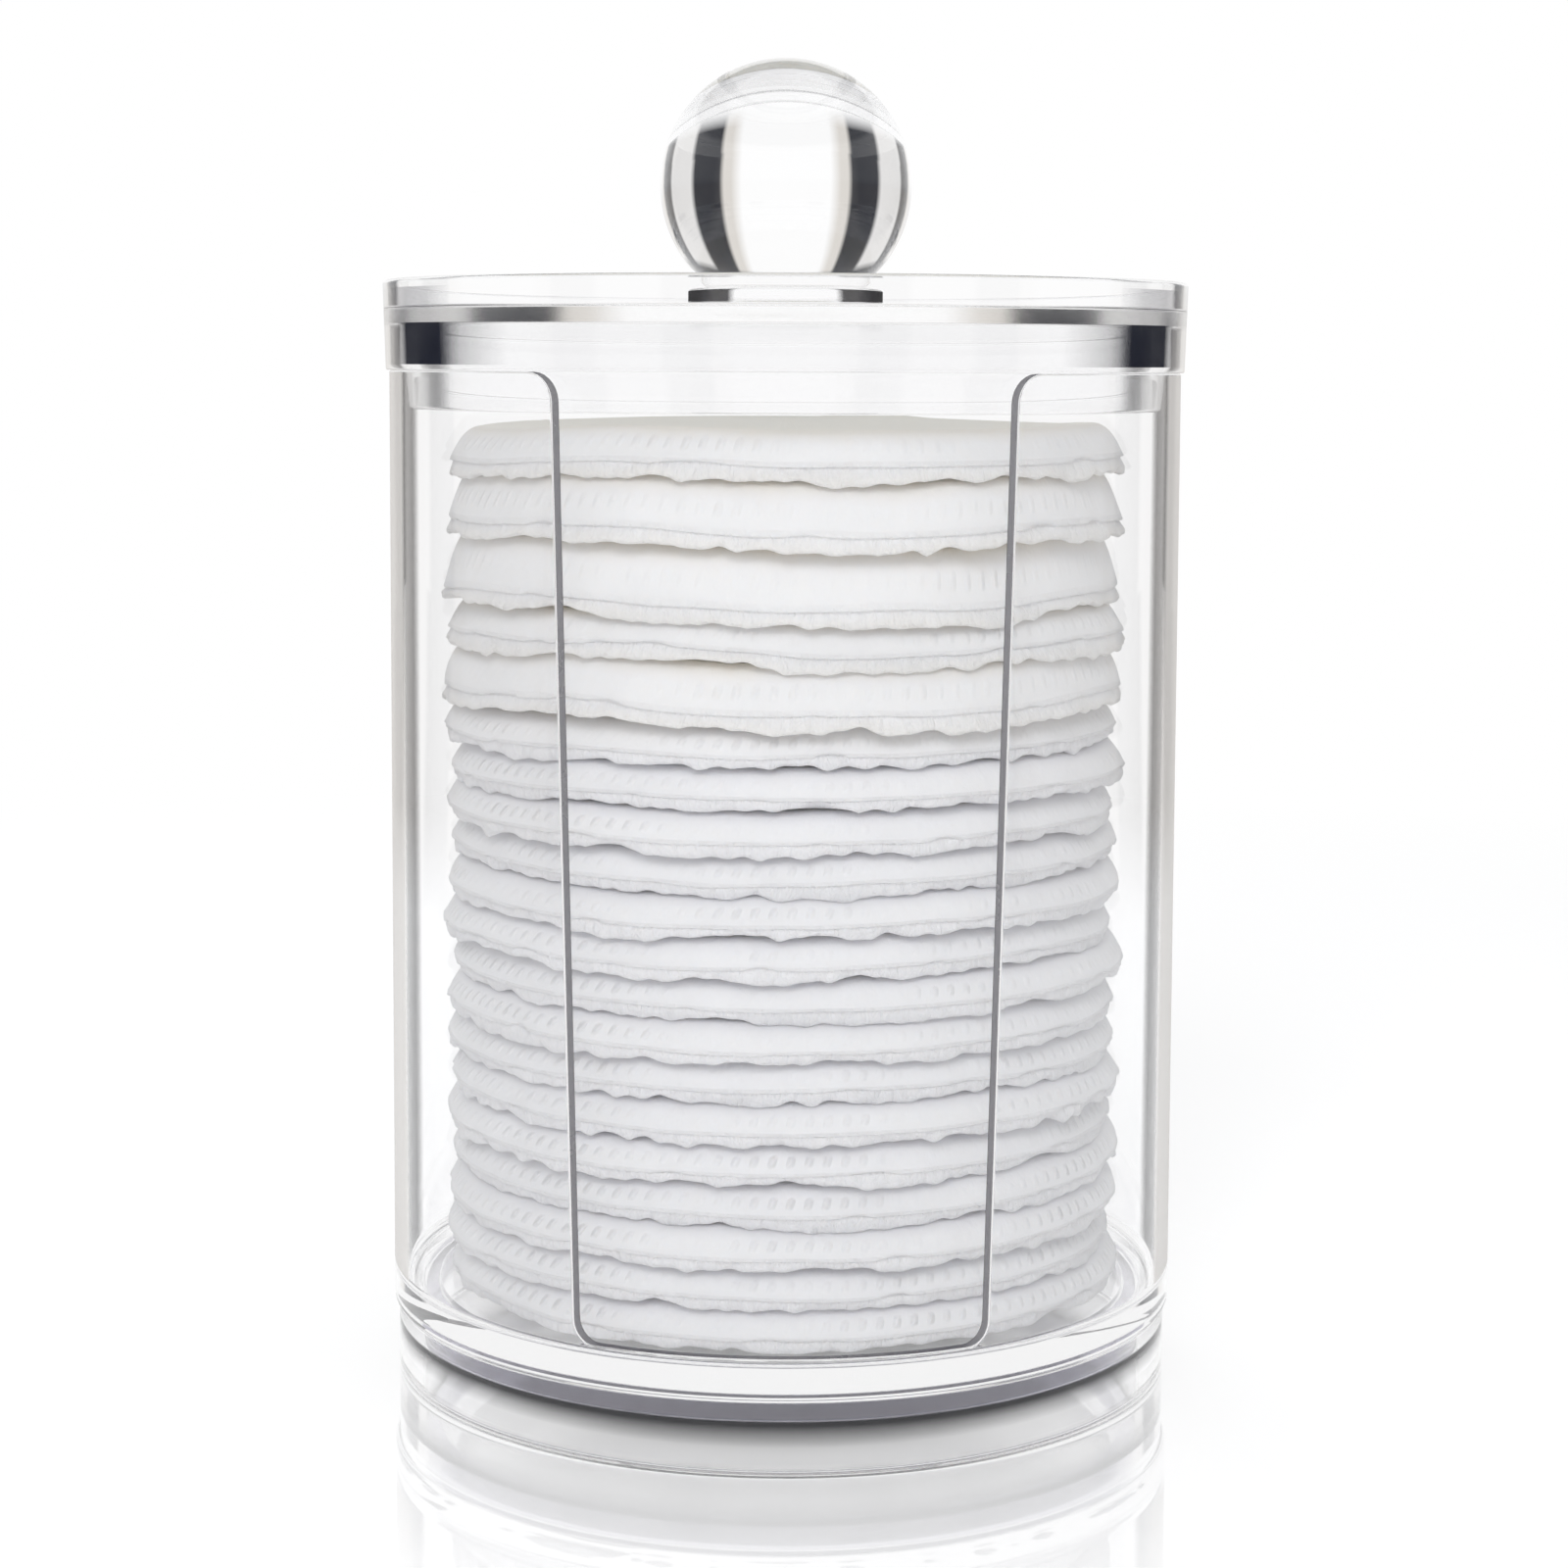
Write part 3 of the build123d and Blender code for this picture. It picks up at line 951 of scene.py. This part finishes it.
@dataclass
class LidCap:
    """Lid: recessed plate with a boss, raised rim, skirt and plug.

    Its skirt's zones, from the seat up, are given by the index of their finish; all but the plain
    ones carry painted shade.
    """
    seat_z: float = 89.2
    plate_under: float = 93.2
    plate_top: float = 94.4
    top_z: float = 97.0
    seat_radius: float = 35.3
    top_radius: float = 35.55
    wall: float = 1.15
    plug_radius: float = 33.6
    plug_wall: float = 1.2
    plug_tip: float = 85.85
    plug_draft: float = 0.3
    boss_radius: float = 5.0
    boss_height: float = 1.4
    seat_band: float = 0.5
    top_band: float = 0.8
    skirt_zones: tuple[int, ...] = (0, 2, 3, 4, 0)
    steps: int = 240
    finish: ClearPlastic = field(default_factory=lambda: ClearPlastic("clear_lid"))
    # Painted shade: the plug's inner face is painted dark where it is seen at a slant.
    inner_finish_painted_shade: ClearPlastic = field(
        default_factory=lambda: ClearPlastic(
            "clear_lid_inner_painted_shade", edge=((0.60, 0.0), (0.70, 0.9), (1.0, 0.9))))
    # Painted shade: the skirt is painted dark where it is seen at a middle slant, dark patches
    # towards its ends in place of what refraction shows.
    skirt_finish_painted_shade: ClearPlastic = field(
        default_factory=lambda: ClearPlastic(
            "clear_skirt_painted_shade", edge=((0.28, 0.0), (0.42, 0.4), (0.50, 0.97), (0.68, 0.97),
                                 (0.75, 0.05), (1.0, 0.0)),
            painted_colour=(0.012, 0.014, 0.025, 1.0)))
    # Painted shade: the plate's band of the skirt is painted a partial grey at middle slants; its
    # haze is its own roughness.
    plate_finish_painted_shade: ClearPlastic = field(
        default_factory=lambda: ClearPlastic(
            "clear_plate_painted_shade", clear=0.12, haze=0.3,
            edge=((0.3, 0.0), (0.55, 0.34), (0.7, 0.34), (0.85, 0.1), (1.0, 0.0))))
    # Painted shade: the rim's band of the skirt is painted a partial grey at middle slants.
    rim_finish_painted_shade: ClearPlastic = field(
        default_factory=lambda: ClearPlastic(
            "clear_rim_painted_shade", edge=((0.45, 0.0), (0.58, 0.4), (0.68, 0.45), (0.8, 0.05),
                               (1.0, 0.0)),
            painted_colour=(0.10, 0.10, 0.13, 1.0)))

    def build(self) -> bpy.types.Object:
        """Build the piece.

        Returns:
            The finished piece.
        """
        bm = bmesh.new()
        plug_in = self.plug_radius - self.plug_wall
        skirt_in = self.seat_radius - self.wall
        rim_in = self.top_radius - self.wall
        flare = (self.top_radius - self.seat_radius) / (self.top_z - self.seat_z)
        marks = [(self.seat_radius + flare * (z - self.seat_z), z)
                 for z in (self.seat_z + self.seat_band, self.plate_under,
                           self.plate_top, self.top_z - self.top_band)]
        draw_profile(bm, [
            (0.0, self.plate_under), (plug_in, self.plate_under, 0.2),
            (plug_in, self.plug_tip, 0.3), (self.plug_radius - self.plug_draft,
                                            self.plug_tip, 0.3),
            (self.plug_radius, self.seat_z, 0.5), (self.plug_radius, self.plate_under, 0.12),
            (skirt_in, self.plate_under, 0.12), (skirt_in, self.seat_z, 0.12),
            (self.seat_radius, self.seat_z, 0.12), *marks,
            (self.top_radius, self.top_z, 0.35),
            (rim_in, self.top_z, 0.35), (rim_in, self.plate_top, 0.35),
            (self.boss_radius, self.plate_top, 0.15),
            (self.boss_radius, self.plate_top + self.boss_height, 0.15),
            (0.0, self.plate_top + self.boss_height)])
        turn(bm, self.steps)
        for face in bm.faces:
            reach = min(math.hypot(v.co.x, v.co.y) for v in face.verts)
            if on_wall(face, plug_in, slack=0.05):
                face.material_index = 1
            elif reach > self.seat_radius - PAST:
                middle = face.calc_center_median().z
                face.material_index = self.skirt_zones[sum(middle > z for _, z in marks)]
        piece = finish_mesh(bm, "lid_cap_clear")
        finishes = (self.finish, self.inner_finish_painted_shade, self.skirt_finish_painted_shade, self.plate_finish_painted_shade,
                    self.rim_finish_painted_shade)
        return settle(piece, Body.LID, Slot.CLEAR, "lid_cap",
                      *(finish.material() for finish in finishes))


@dataclass
class BallKnob:
    """Solid clear ball on a short foot, over the lid's boss."""
    ball_radius: float = 11.15
    neck_radius: float = 6.9
    foot_radius: float = 8.65
    foot_height: float = 2.45
    seat_z: float = 94.4
    socket_radius: float = 5.1
    socket_height: float = 1.5
    gap: float = 0.03
    collar: float = 1.5
    arc_steps: int = 72
    steps: int = 160
    finish: ClearPlastic = field(
        default_factory=lambda: ClearPlastic("clear_knob", ripple_scale=75.0,
                                             ripple_height=0.06))
    # Painted shade: the foot's sides are painted almost black beyond a slight slant, in place of
    # the dark patches that refraction shows in the foot.
    foot_finish_painted_shade: ClearPlastic = field(
        default_factory=lambda: ClearPlastic(
            "clear_knob_foot_painted_shade", edge=((0.15, 0.0), (0.2, 0.95), (1.0, 0.95)),
            painted_colour=(0.012, 0.012, 0.018, 1.0)))

    def build(self) -> bpy.types.Object:
        """Build the piece.

        Returns:
            The finished piece.
        """
        bm = bmesh.new()
        foot_top = self.seat_z + self.foot_height
        centre = foot_top + math.sqrt(self.ball_radius ** 2 - self.neck_radius ** 2)
        neck_angle = math.pi / 2 + math.acos(self.neck_radius / self.ball_radius)
        pole = bm.verts.new((0.0, 0.0, centre + self.ball_radius))
        arc = bmesh.ops.spin(bm, geom=[pole], cent=(0, 0, centre), axis=(1, 0, 0),
                             angle=neck_angle, steps=self.arc_steps)
        neck = [g for g in arc["geom_last"] if isinstance(g, bmesh.types.BMVert)][0]
        seat = self.seat_z + self.gap
        draw_profile(bm, [
            (self.foot_radius, foot_top, 0.3), (self.foot_radius, foot_top - self.collar),
            (self.foot_radius, seat, 0.12),
            (self.socket_radius, seat, 0.12),
            (self.socket_radius, self.seat_z + self.socket_height, 0.15),
            (0.0, self.seat_z + self.socket_height)], start=neck)
        turn(bm, self.steps)
        for face in bm.faces:
            low = min(v.co.z for v in face.verts)
            face.material_index = int(on_wall(face, self.foot_radius)
                                      and low > foot_top - self.collar - PAST)
        piece = finish_mesh(bm, "ball_knob_clear")
        return settle(piece, Body.LID, Slot.CLEAR, "ball_knob", self.finish.material(),
                      self.foot_finish_painted_shade.material())


# ------------------------------------------------------------------------ the pads
def clamp(value: float) -> float:
    """Return a value kept between 0 and 1."""
    return max(0.0, min(1.0, value))


@dataclass
class CottonPad:
    """One round cotton pad.

    Attributes:
        number: its place in the stack, from 1.
        lift: height of its underside.
        thickness: its thickness, crown included.
        shift: how far it is off the axis.
        loose: 1 for a loose pad, 0 for one that is pressed.
        crown: how far its top rises in the middle.
        crown_reach: radius of that rise.
        radius: its radius.
        flat_reach: radius up to which it stays flat.
        flat_fade: width of the change from there to the full waves.
        lip_height: height of the torn lip.
        lip_reach: radius past which the lip lies.
        lip_span: how far above and below its height the lip is torn.
        band_reach: radius past which the band under the lip lies.
        band_top: height of the band's upper end.
        band_fade: height over which the band sets in.
        blank_thickness: thickness of the blank.
        steps: number of steps round the pad.
    """
    number: int
    lift: float
    thickness: float
    shift: Point
    loose: float
    crown: float = 0.0
    crown_reach: float = 28.0
    radius: float = 30.0
    flat_reach: float = 22.0
    flat_fade: float = 6.0
    lip_height: float = 0.9
    lip_reach: float = 29.4
    lip_span: float = 0.2
    band_reach: float = 28.0
    band_top: float = 0.8
    band_fade: float = 0.4
    blank_thickness: float = 3.44
    steps: int = 540

    def swell(self, waves: float, layer: float, drift: float) -> list[float]:
        """Return smooth random heights round the pad, from about -1 to 1.

        Args:
            waves: number of waves in a turn, about.
            layer: which of the pad's own patterns is read.
            drift: how fast the pattern changes from one pad to the next.

        Returns:
            One height for each step of the turn.
        """
        reach = waves / (2 * math.pi)
        depth = layer * 17.3 + self.number * drift
        angles = (2 * math.pi * k / self.steps for k in range(self.steps))
        return [2.0 * noise.noise(Vector((reach * math.cos(a), reach * math.sin(a), depth)))
                for a in angles]

    def swells(self, *parts: tuple[float, float, float, float]) -> list[float]:
        """Return a sum of patterns round the pad.

        Args:
            parts: height, number of waves, layer and drift of each pattern.

        Returns:
            One height in millimetres for each step of the turn.
        """
        patterns = [[tall * level for level in self.swell(*rest)] for tall, *rest in parts]
        return [sum(levels) for levels in zip(*patterns)]

    def reshape(self, vert: bmesh.types.BMVert, reach: float) -> None:
        """Bring a vertex of the blank to this pad's own thickness and crown.

        Args:
            vert: the vertex.
            reach: its distance from the pad's axis.
        """
        tall = self.thickness - self.crown
        height = vert.co.z
        if height > self.lip_height:
            share = (height - self.lip_height) / (self.blank_thickness - self.lip_height)
            vert.co.z = self.lip_height + share * (tall - self.lip_height)
            if share > 0.9:
                vert.co.z += self.crown * max(0.0, 1 - (reach / self.crown_reach) ** 2)

    def shape(self, bm: bmesh.types.BMesh) -> None:
        """Give the turned pad its uneven outline, torn lip and soft waves.

        Args:
            bm: the pad's mesh, turned about its own axis on z = 0.
        """
        side = bm.verts.layers.float.new("side")
        painted_recess_shading = bm.verts.layers.float.new("painted_recess_shading")
        free = self.loose
        outline = self.swells((0.28, 5, 1, 0.8), (0.16, 17, 2, 3.1), (0.05, 60, 3, 5.7))
        wave = self.swells((0.16 + 0.3 * free, 6, 4, 0.35), (0.1 + 0.12 * free, 14, 5, 1.9),
                           (0.05, 34, 12, 4.3))
        torn = [max(0.0, a - 0.5) for a in self.swell(48, 6, 7.1)]
        lip_out = [0.06 * a - 0.5 * b for a, b in zip(self.swell(120, 7, 3.3), torn)]
        lip_up = [0.06 * a + 0.35 * b for a, b in zip(self.swell(38, 8, 7.7), torn)]
        band_out = self.swells((0.16, 34, 9, 9.1), (0.1, 110, 13, 2.9))
        band_up = [0.24 * a + 0.4 * abs(b) + 0.15 * c - 0.42 - 0.34 * free
                   for a, b, c in zip(self.swell(20, 10, 6.1), self.swell(46, 14, 8.3),
                                      self.swell(120, 15, 5.1))]
        puff = self.swell(14, 11, 2.1)
        for vert in bm.verts:
            reach = math.hypot(vert.co.x, vert.co.y)
            self.reshape(vert, reach)
            height = vert.co.z
            step = round(math.atan2(vert.co.x, -vert.co.y) / (2 * math.pi) * self.steps)
            step %= self.steps
            share = (height - self.lip_height) / (self.thickness - self.lip_height)
            vert[side] = max(0.0, share)
            edge = clamp((reach - self.flat_reach) / self.flat_fade)
            edge = edge * edge * (3 - 2 * edge)
            lip = band = 0.0
            if reach > self.lip_reach:
                lip = max(0.0, 1 - abs(height - self.lip_height) / self.lip_span)
            if reach > self.band_reach:
                band = clamp((self.band_top - height) / self.band_fade)
            bulge = math.sin(math.pi * clamp(share))
            out = (outline[step] + 0.14 * (1 + free) * puff[step] * bulge) * edge
            out += lip * lip_out[step] + band * band_out[step] + 0.5 * free * band
            if reach > 1e-6:
                grown = (reach + out) / reach
                vert.co.x *= grown
                vert.co.y *= grown
            under = band * clamp((reach - self.band_reach) / 1.2)
            vert.co.z += wave[step] * edge + lip * lip_up[step] + under * band_up[step]
            # How deep a vertex lies in the gap under the pad above, and a little on the band: it
            # picks the cotton's painted shade and light.
            deep = clamp((self.radius - self.band_top - reach) / 2.3)
            vert[painted_recess_shading] = max(deep, 0.3 * band)

    def build(self, blank: bpy.types.Mesh, material: bpy.types.Material) -> bpy.types.Object:
        """Build the pad in its place in the stack.

        Args:
            blank: the plain pad that all the pads are shaped from.
            material: the pad's cotton.

        Returns:
            The finished piece.
        """
        bm = bmesh.new()
        bm.from_mesh(blank)
        self.shape(bm)
        bmesh.ops.translate(bm, vec=(*self.shift, self.lift), verts=bm.verts)
        name = f"cotton_pad_{self.number:02d}"
        piece = finish_mesh(bm, name + "_soft", weighted=False)
        settle(piece, Body.CANISTER, Slot.COTTON, name, material)
        return piece


@dataclass
class PadBlank:
    """The plain turned pad that every pad of the stack is shaped from."""
    radius: float = 30.0
    thickness: float = 3.44
    lip_height: float = 0.9
    lip_step: float = 0.3
    side_depth: float = 2.7
    side_rows: int = 14
    steps: int = 540

    def profile(self) -> list[Point]:
        """Draw the outline from the underside's middle.

        Returns:
            Radius and height of each point.
        """
        band = self.radius - self.lip_step
        rise = self.thickness - self.lip_height
        points = [(0.0, 0.0), (15.0, 0.0), (25.0, 0.0), (27.6, 0.02), (28.7, 0.1),
                  (band - 0.3, 0.2), (band - 0.06, 0.32), (band, 0.46), (band + 0.02, 0.62),
                  (band, 0.76), (band - 0.04, 0.85), (band + 0.15, 0.88),
                  (self.radius - 0.04, self.lip_height), (self.radius, 0.96)]
        for row in range(1, self.side_rows + 1):
            share = row / self.side_rows
            inward = self.side_depth * (0.72 * share + 0.28 * share ** 2.2)
            points.append((self.radius - inward, self.lip_height + 0.06
                           + (rise - 0.06) * math.sin(share * math.pi / 2)))
        return points + [(points[-1][0] - 0.9, self.thickness + 0.02),
                         (24.0, self.thickness), (15.0, self.thickness),
                         (0.0, self.thickness)]

    def build(self) -> bpy.types.Mesh:
        """Build the blank.

        Returns:
            Its mesh, in millimetres.
        """
        bm = bmesh.new()
        draw_profile(bm, self.profile())
        turn(bm, self.steps)
        mesh = bpy.data.meshes.new("pad_blank")
        bm.to_mesh(mesh)
        bm.free()
        return mesh


@dataclass
class PadStack:
    """The pads from the bottom up, the upper ones looser than the lower."""
    floor_top: float = 8.9
    packed_count: int = 15
    packed_thickness: float = 3.44
    loose_thicknesses: tuple[float, ...] = (5.0, 3.7, 6.05, 5.35, 4.5)
    shift: float = 0.4
    shift_turn: float = 137.5
    crown: float = 0.7
    rest_gap: float = 0.06
    # The packed pads' painted shade is a cool grey, their painted light deep in the gaps near
    # white.
    packed: Cotton = field(default_factory=lambda: Cotton(
        "cotton_packed", fibre=(0.93, 0.925, 0.95, 1.0), shade=(0.83, 0.825, 0.85, 1.0),
        painted_recess_shading=(0.975, 0.97, 0.975, 1.0)))
    # The loose pads' painted shade and light in their gaps are warm beige.
    loose: Cotton = field(default_factory=lambda: Cotton(
        "cotton_loose", fibre=(0.93, 0.925, 0.94, 1.0), shade=(0.86, 0.825, 0.77, 1.0),
        painted_recess_shading=(0.975, 0.93, 0.84, 1.0),
        dimple_height=0.18))

    def build(self) -> list[bpy.types.Object]:
        """Build the pads.

        Returns:
            The finished pads.
        """
        finishes = self.packed.material(), self.loose.material()
        sizes = [self.packed_thickness] * self.packed_count + list(self.loose_thicknesses)
        blank = PadBlank().build()
        pads, lift = [], self.floor_top + self.rest_gap
        for index, thickness in enumerate(sizes):
            turn_by = math.radians(self.shift_turn * index)
            free = index >= self.packed_count
            pad = CottonPad(
                number=index + 1, lift=lift, thickness=thickness,
                shift=(self.shift * math.cos(turn_by), self.shift * math.sin(turn_by)),
                loose=1.0 if free else 0.0,
                crown=self.crown if index == len(sizes) - 1 else 0.0)
            pads.append(pad.build(blank, finishes[1 if free else 0]))
            lift += thickness
        bpy.data.meshes.remove(blank)
        return pads


# ---------------------------------------------------------------------- the studio
@dataclass
class Studio:
    """White studio: backdrop, table top, soft lamps and the camera.

    Attributes:
        level: strength of the even light.
        tone: its colour.
        high_card: colour of the dark card above the side cards.
        camera_place: where the camera stands, in millimetres.
        camera_pitch: how far it is tipped down, in degrees.
        camera_roll: how far it is turned about its own axis, in degrees.
        lens: its focal length in millimetres.
        shift: its upright shift.
        aim: what the lamps face, in metres.
        floor_size: length of the table top's side in metres.
        floor: finish of the table top.
    """
    level: float = 0.47
    tone: Colour = (0.985, 0.99, 1.0, 1.0)
    high_card: Colour = (0.02, 0.022, 0.03, 1.0)
    camera_place: tuple[float, float, float] = (0.0, -287.3, 90.3)
    camera_pitch: float = 5.053
    camera_roll: float = 0.25
    lens: float = 73.78
    shift: float = -0.09
    aim: tuple[float, float, float] = (0.0, 0.0, 0.06)
    floor_size: float = 1.6
    floor: StudioFloor = field(default_factory=StudioFloor)

    def backdrop(self) -> None:
        """Light the scene evenly, with a white backdrop and dark cards beside it."""
        world = bpy.data.worlds.new("studio")
        bpy.context.scene.world = world
        world.use_nodes = True
        tree = world.node_tree
        tree.nodes.clear()
        way = node(tree, "ShaderNodeSeparateXYZ",
                   {0: node(tree, "ShaderNodeTexCoord").outputs["Generated"]})
        height = way.outputs["Z"]
        screens = ramp(tree, height, [
            (0.0, grey(0.0)), (0.56, grey(0.0)), (0.62, grey(1.0)), (0.78, grey(1.0)),
            (0.84, grey(0.0)), (1.0, grey(0.0))])
        seen = mix_colour(tree, screens, SideCards().around(tree, way), self.high_card)
        seen = mix_colour(tree, spread(tree, height, (0.80, 0.86)), seen, grey(1.0))
        path = node(tree, "ShaderNodeLightPath")
        seen = white_through_walls(tree, path, seen)
        glossy = ramp(tree, height, [
            (0.0, FAR_GREY), (0.02, grey(0.8)), (0.06, grey(1.0)), (0.50, grey(1.0)),
            (0.56, grey(0.06)), (0.78, grey(0.06)), (0.84, grey(1.0)), (1.0, grey(1.0))])
        shades = {"plain": self.tone, "white": grey(1.0),
                  "mirrored": glossy, "around": seen}
        lights = {name: node(tree, "ShaderNodeBackground",
                             {"Color": shade,
                              "Strength": self.level if name == "plain" else 1.0}).outputs[0]
                  for name, shade in shades.items()}
        shown = lights["plain"]
        for ray, name in (("Is Camera Ray", "white"), ("Is Glossy Ray", "mirrored"),
                          ("Is Transmission Ray", "around")):
            shown = mix_shader(tree, path.outputs[ray], shown, lights[name])
        node(tree, "ShaderNodeOutputWorld", {"Surface": shown})

    def table(self) -> None:
        """Lay the table top under the canister."""
        bm = bmesh.new()
        bmesh.ops.create_grid(bm, x_segments=1, y_segments=1, size=self.floor_size / 2 / MM)
        floor = finish_mesh(bm, "table_top", weighted=False)
        floor.data.materials.append(self.floor.material())

    def lamp(self, name: str, place: tuple[float, float, float], size: Point,
             power: float) -> None:
        """Hang a soft lamp that faces the canister.

        Args:
            name: the lamp's name.
            place: where it hangs, in metres.
            size: its width and height, in metres.
            power: its power in watts.
        """
        data = bpy.data.lights.new(name, "AREA")
        data.shape = "RECTANGLE"
        data.size, data.size_y = size
        data.energy = power
        lamp = bpy.data.objects.new(name, data)
        lamp.location = place
        lamp.visible_transmission = lamp.visible_glossy = False
        aim = Vector(self.aim) - lamp.location
        lamp.rotation_euler = aim.to_track_quat("-Z", "Y").to_euler()
        bpy.context.scene.collection.objects.link(lamp)

    def camera(self) -> None:
        """Set the camera where the photograph was taken from."""
        data = bpy.data.cameras.new("camera")
        data.lens, data.sensor_width, data.shift_y = self.lens, 36.0, self.shift
        data.clip_start, data.clip_end = 0.01, 20.0
        camera = bpy.data.objects.new("camera", data)
        bpy.context.scene.collection.objects.link(camera)
        aim = Matrix.Rotation(math.radians(90 - self.camera_pitch), 4, "X")
        roll = Matrix.Rotation(math.radians(self.camera_roll), 4, "Z")
        camera.matrix_world = Matrix.Translation(Vector(self.camera_place) * MM) @ aim @ roll
        bpy.context.scene.camera = camera

    def build(self) -> None:
        """Set up the whole studio."""
        bpy.context.scene.view_settings.view_transform = "Standard"
        self.camera()
        self.backdrop()
        self.table()
        self.lamp("lamp_key", (-0.12, -0.95, 0.62), (0.5, 0.35), 4.5)
        self.lamp("lamp_side", (0.8, -0.35, 0.5), (0.4, 0.5), 0.35)
        self.lamp("lamp_back", (-0.5, 0.9, 0.6), (0.6, 0.4), 1.5)


def main() -> None:
    """Build every piece in order, then the studio."""
    logging.basicConfig(level=logging.INFO, format="%(name)s: %(message)s")
    Studio().build()
    CanisterBody().build()
    FootRing().build()
    LidCap().build()
    BallKnob().build()
    PadStack().build()
    bpy.context.view_layer.update()


if __name__ == "__main__":
    main()
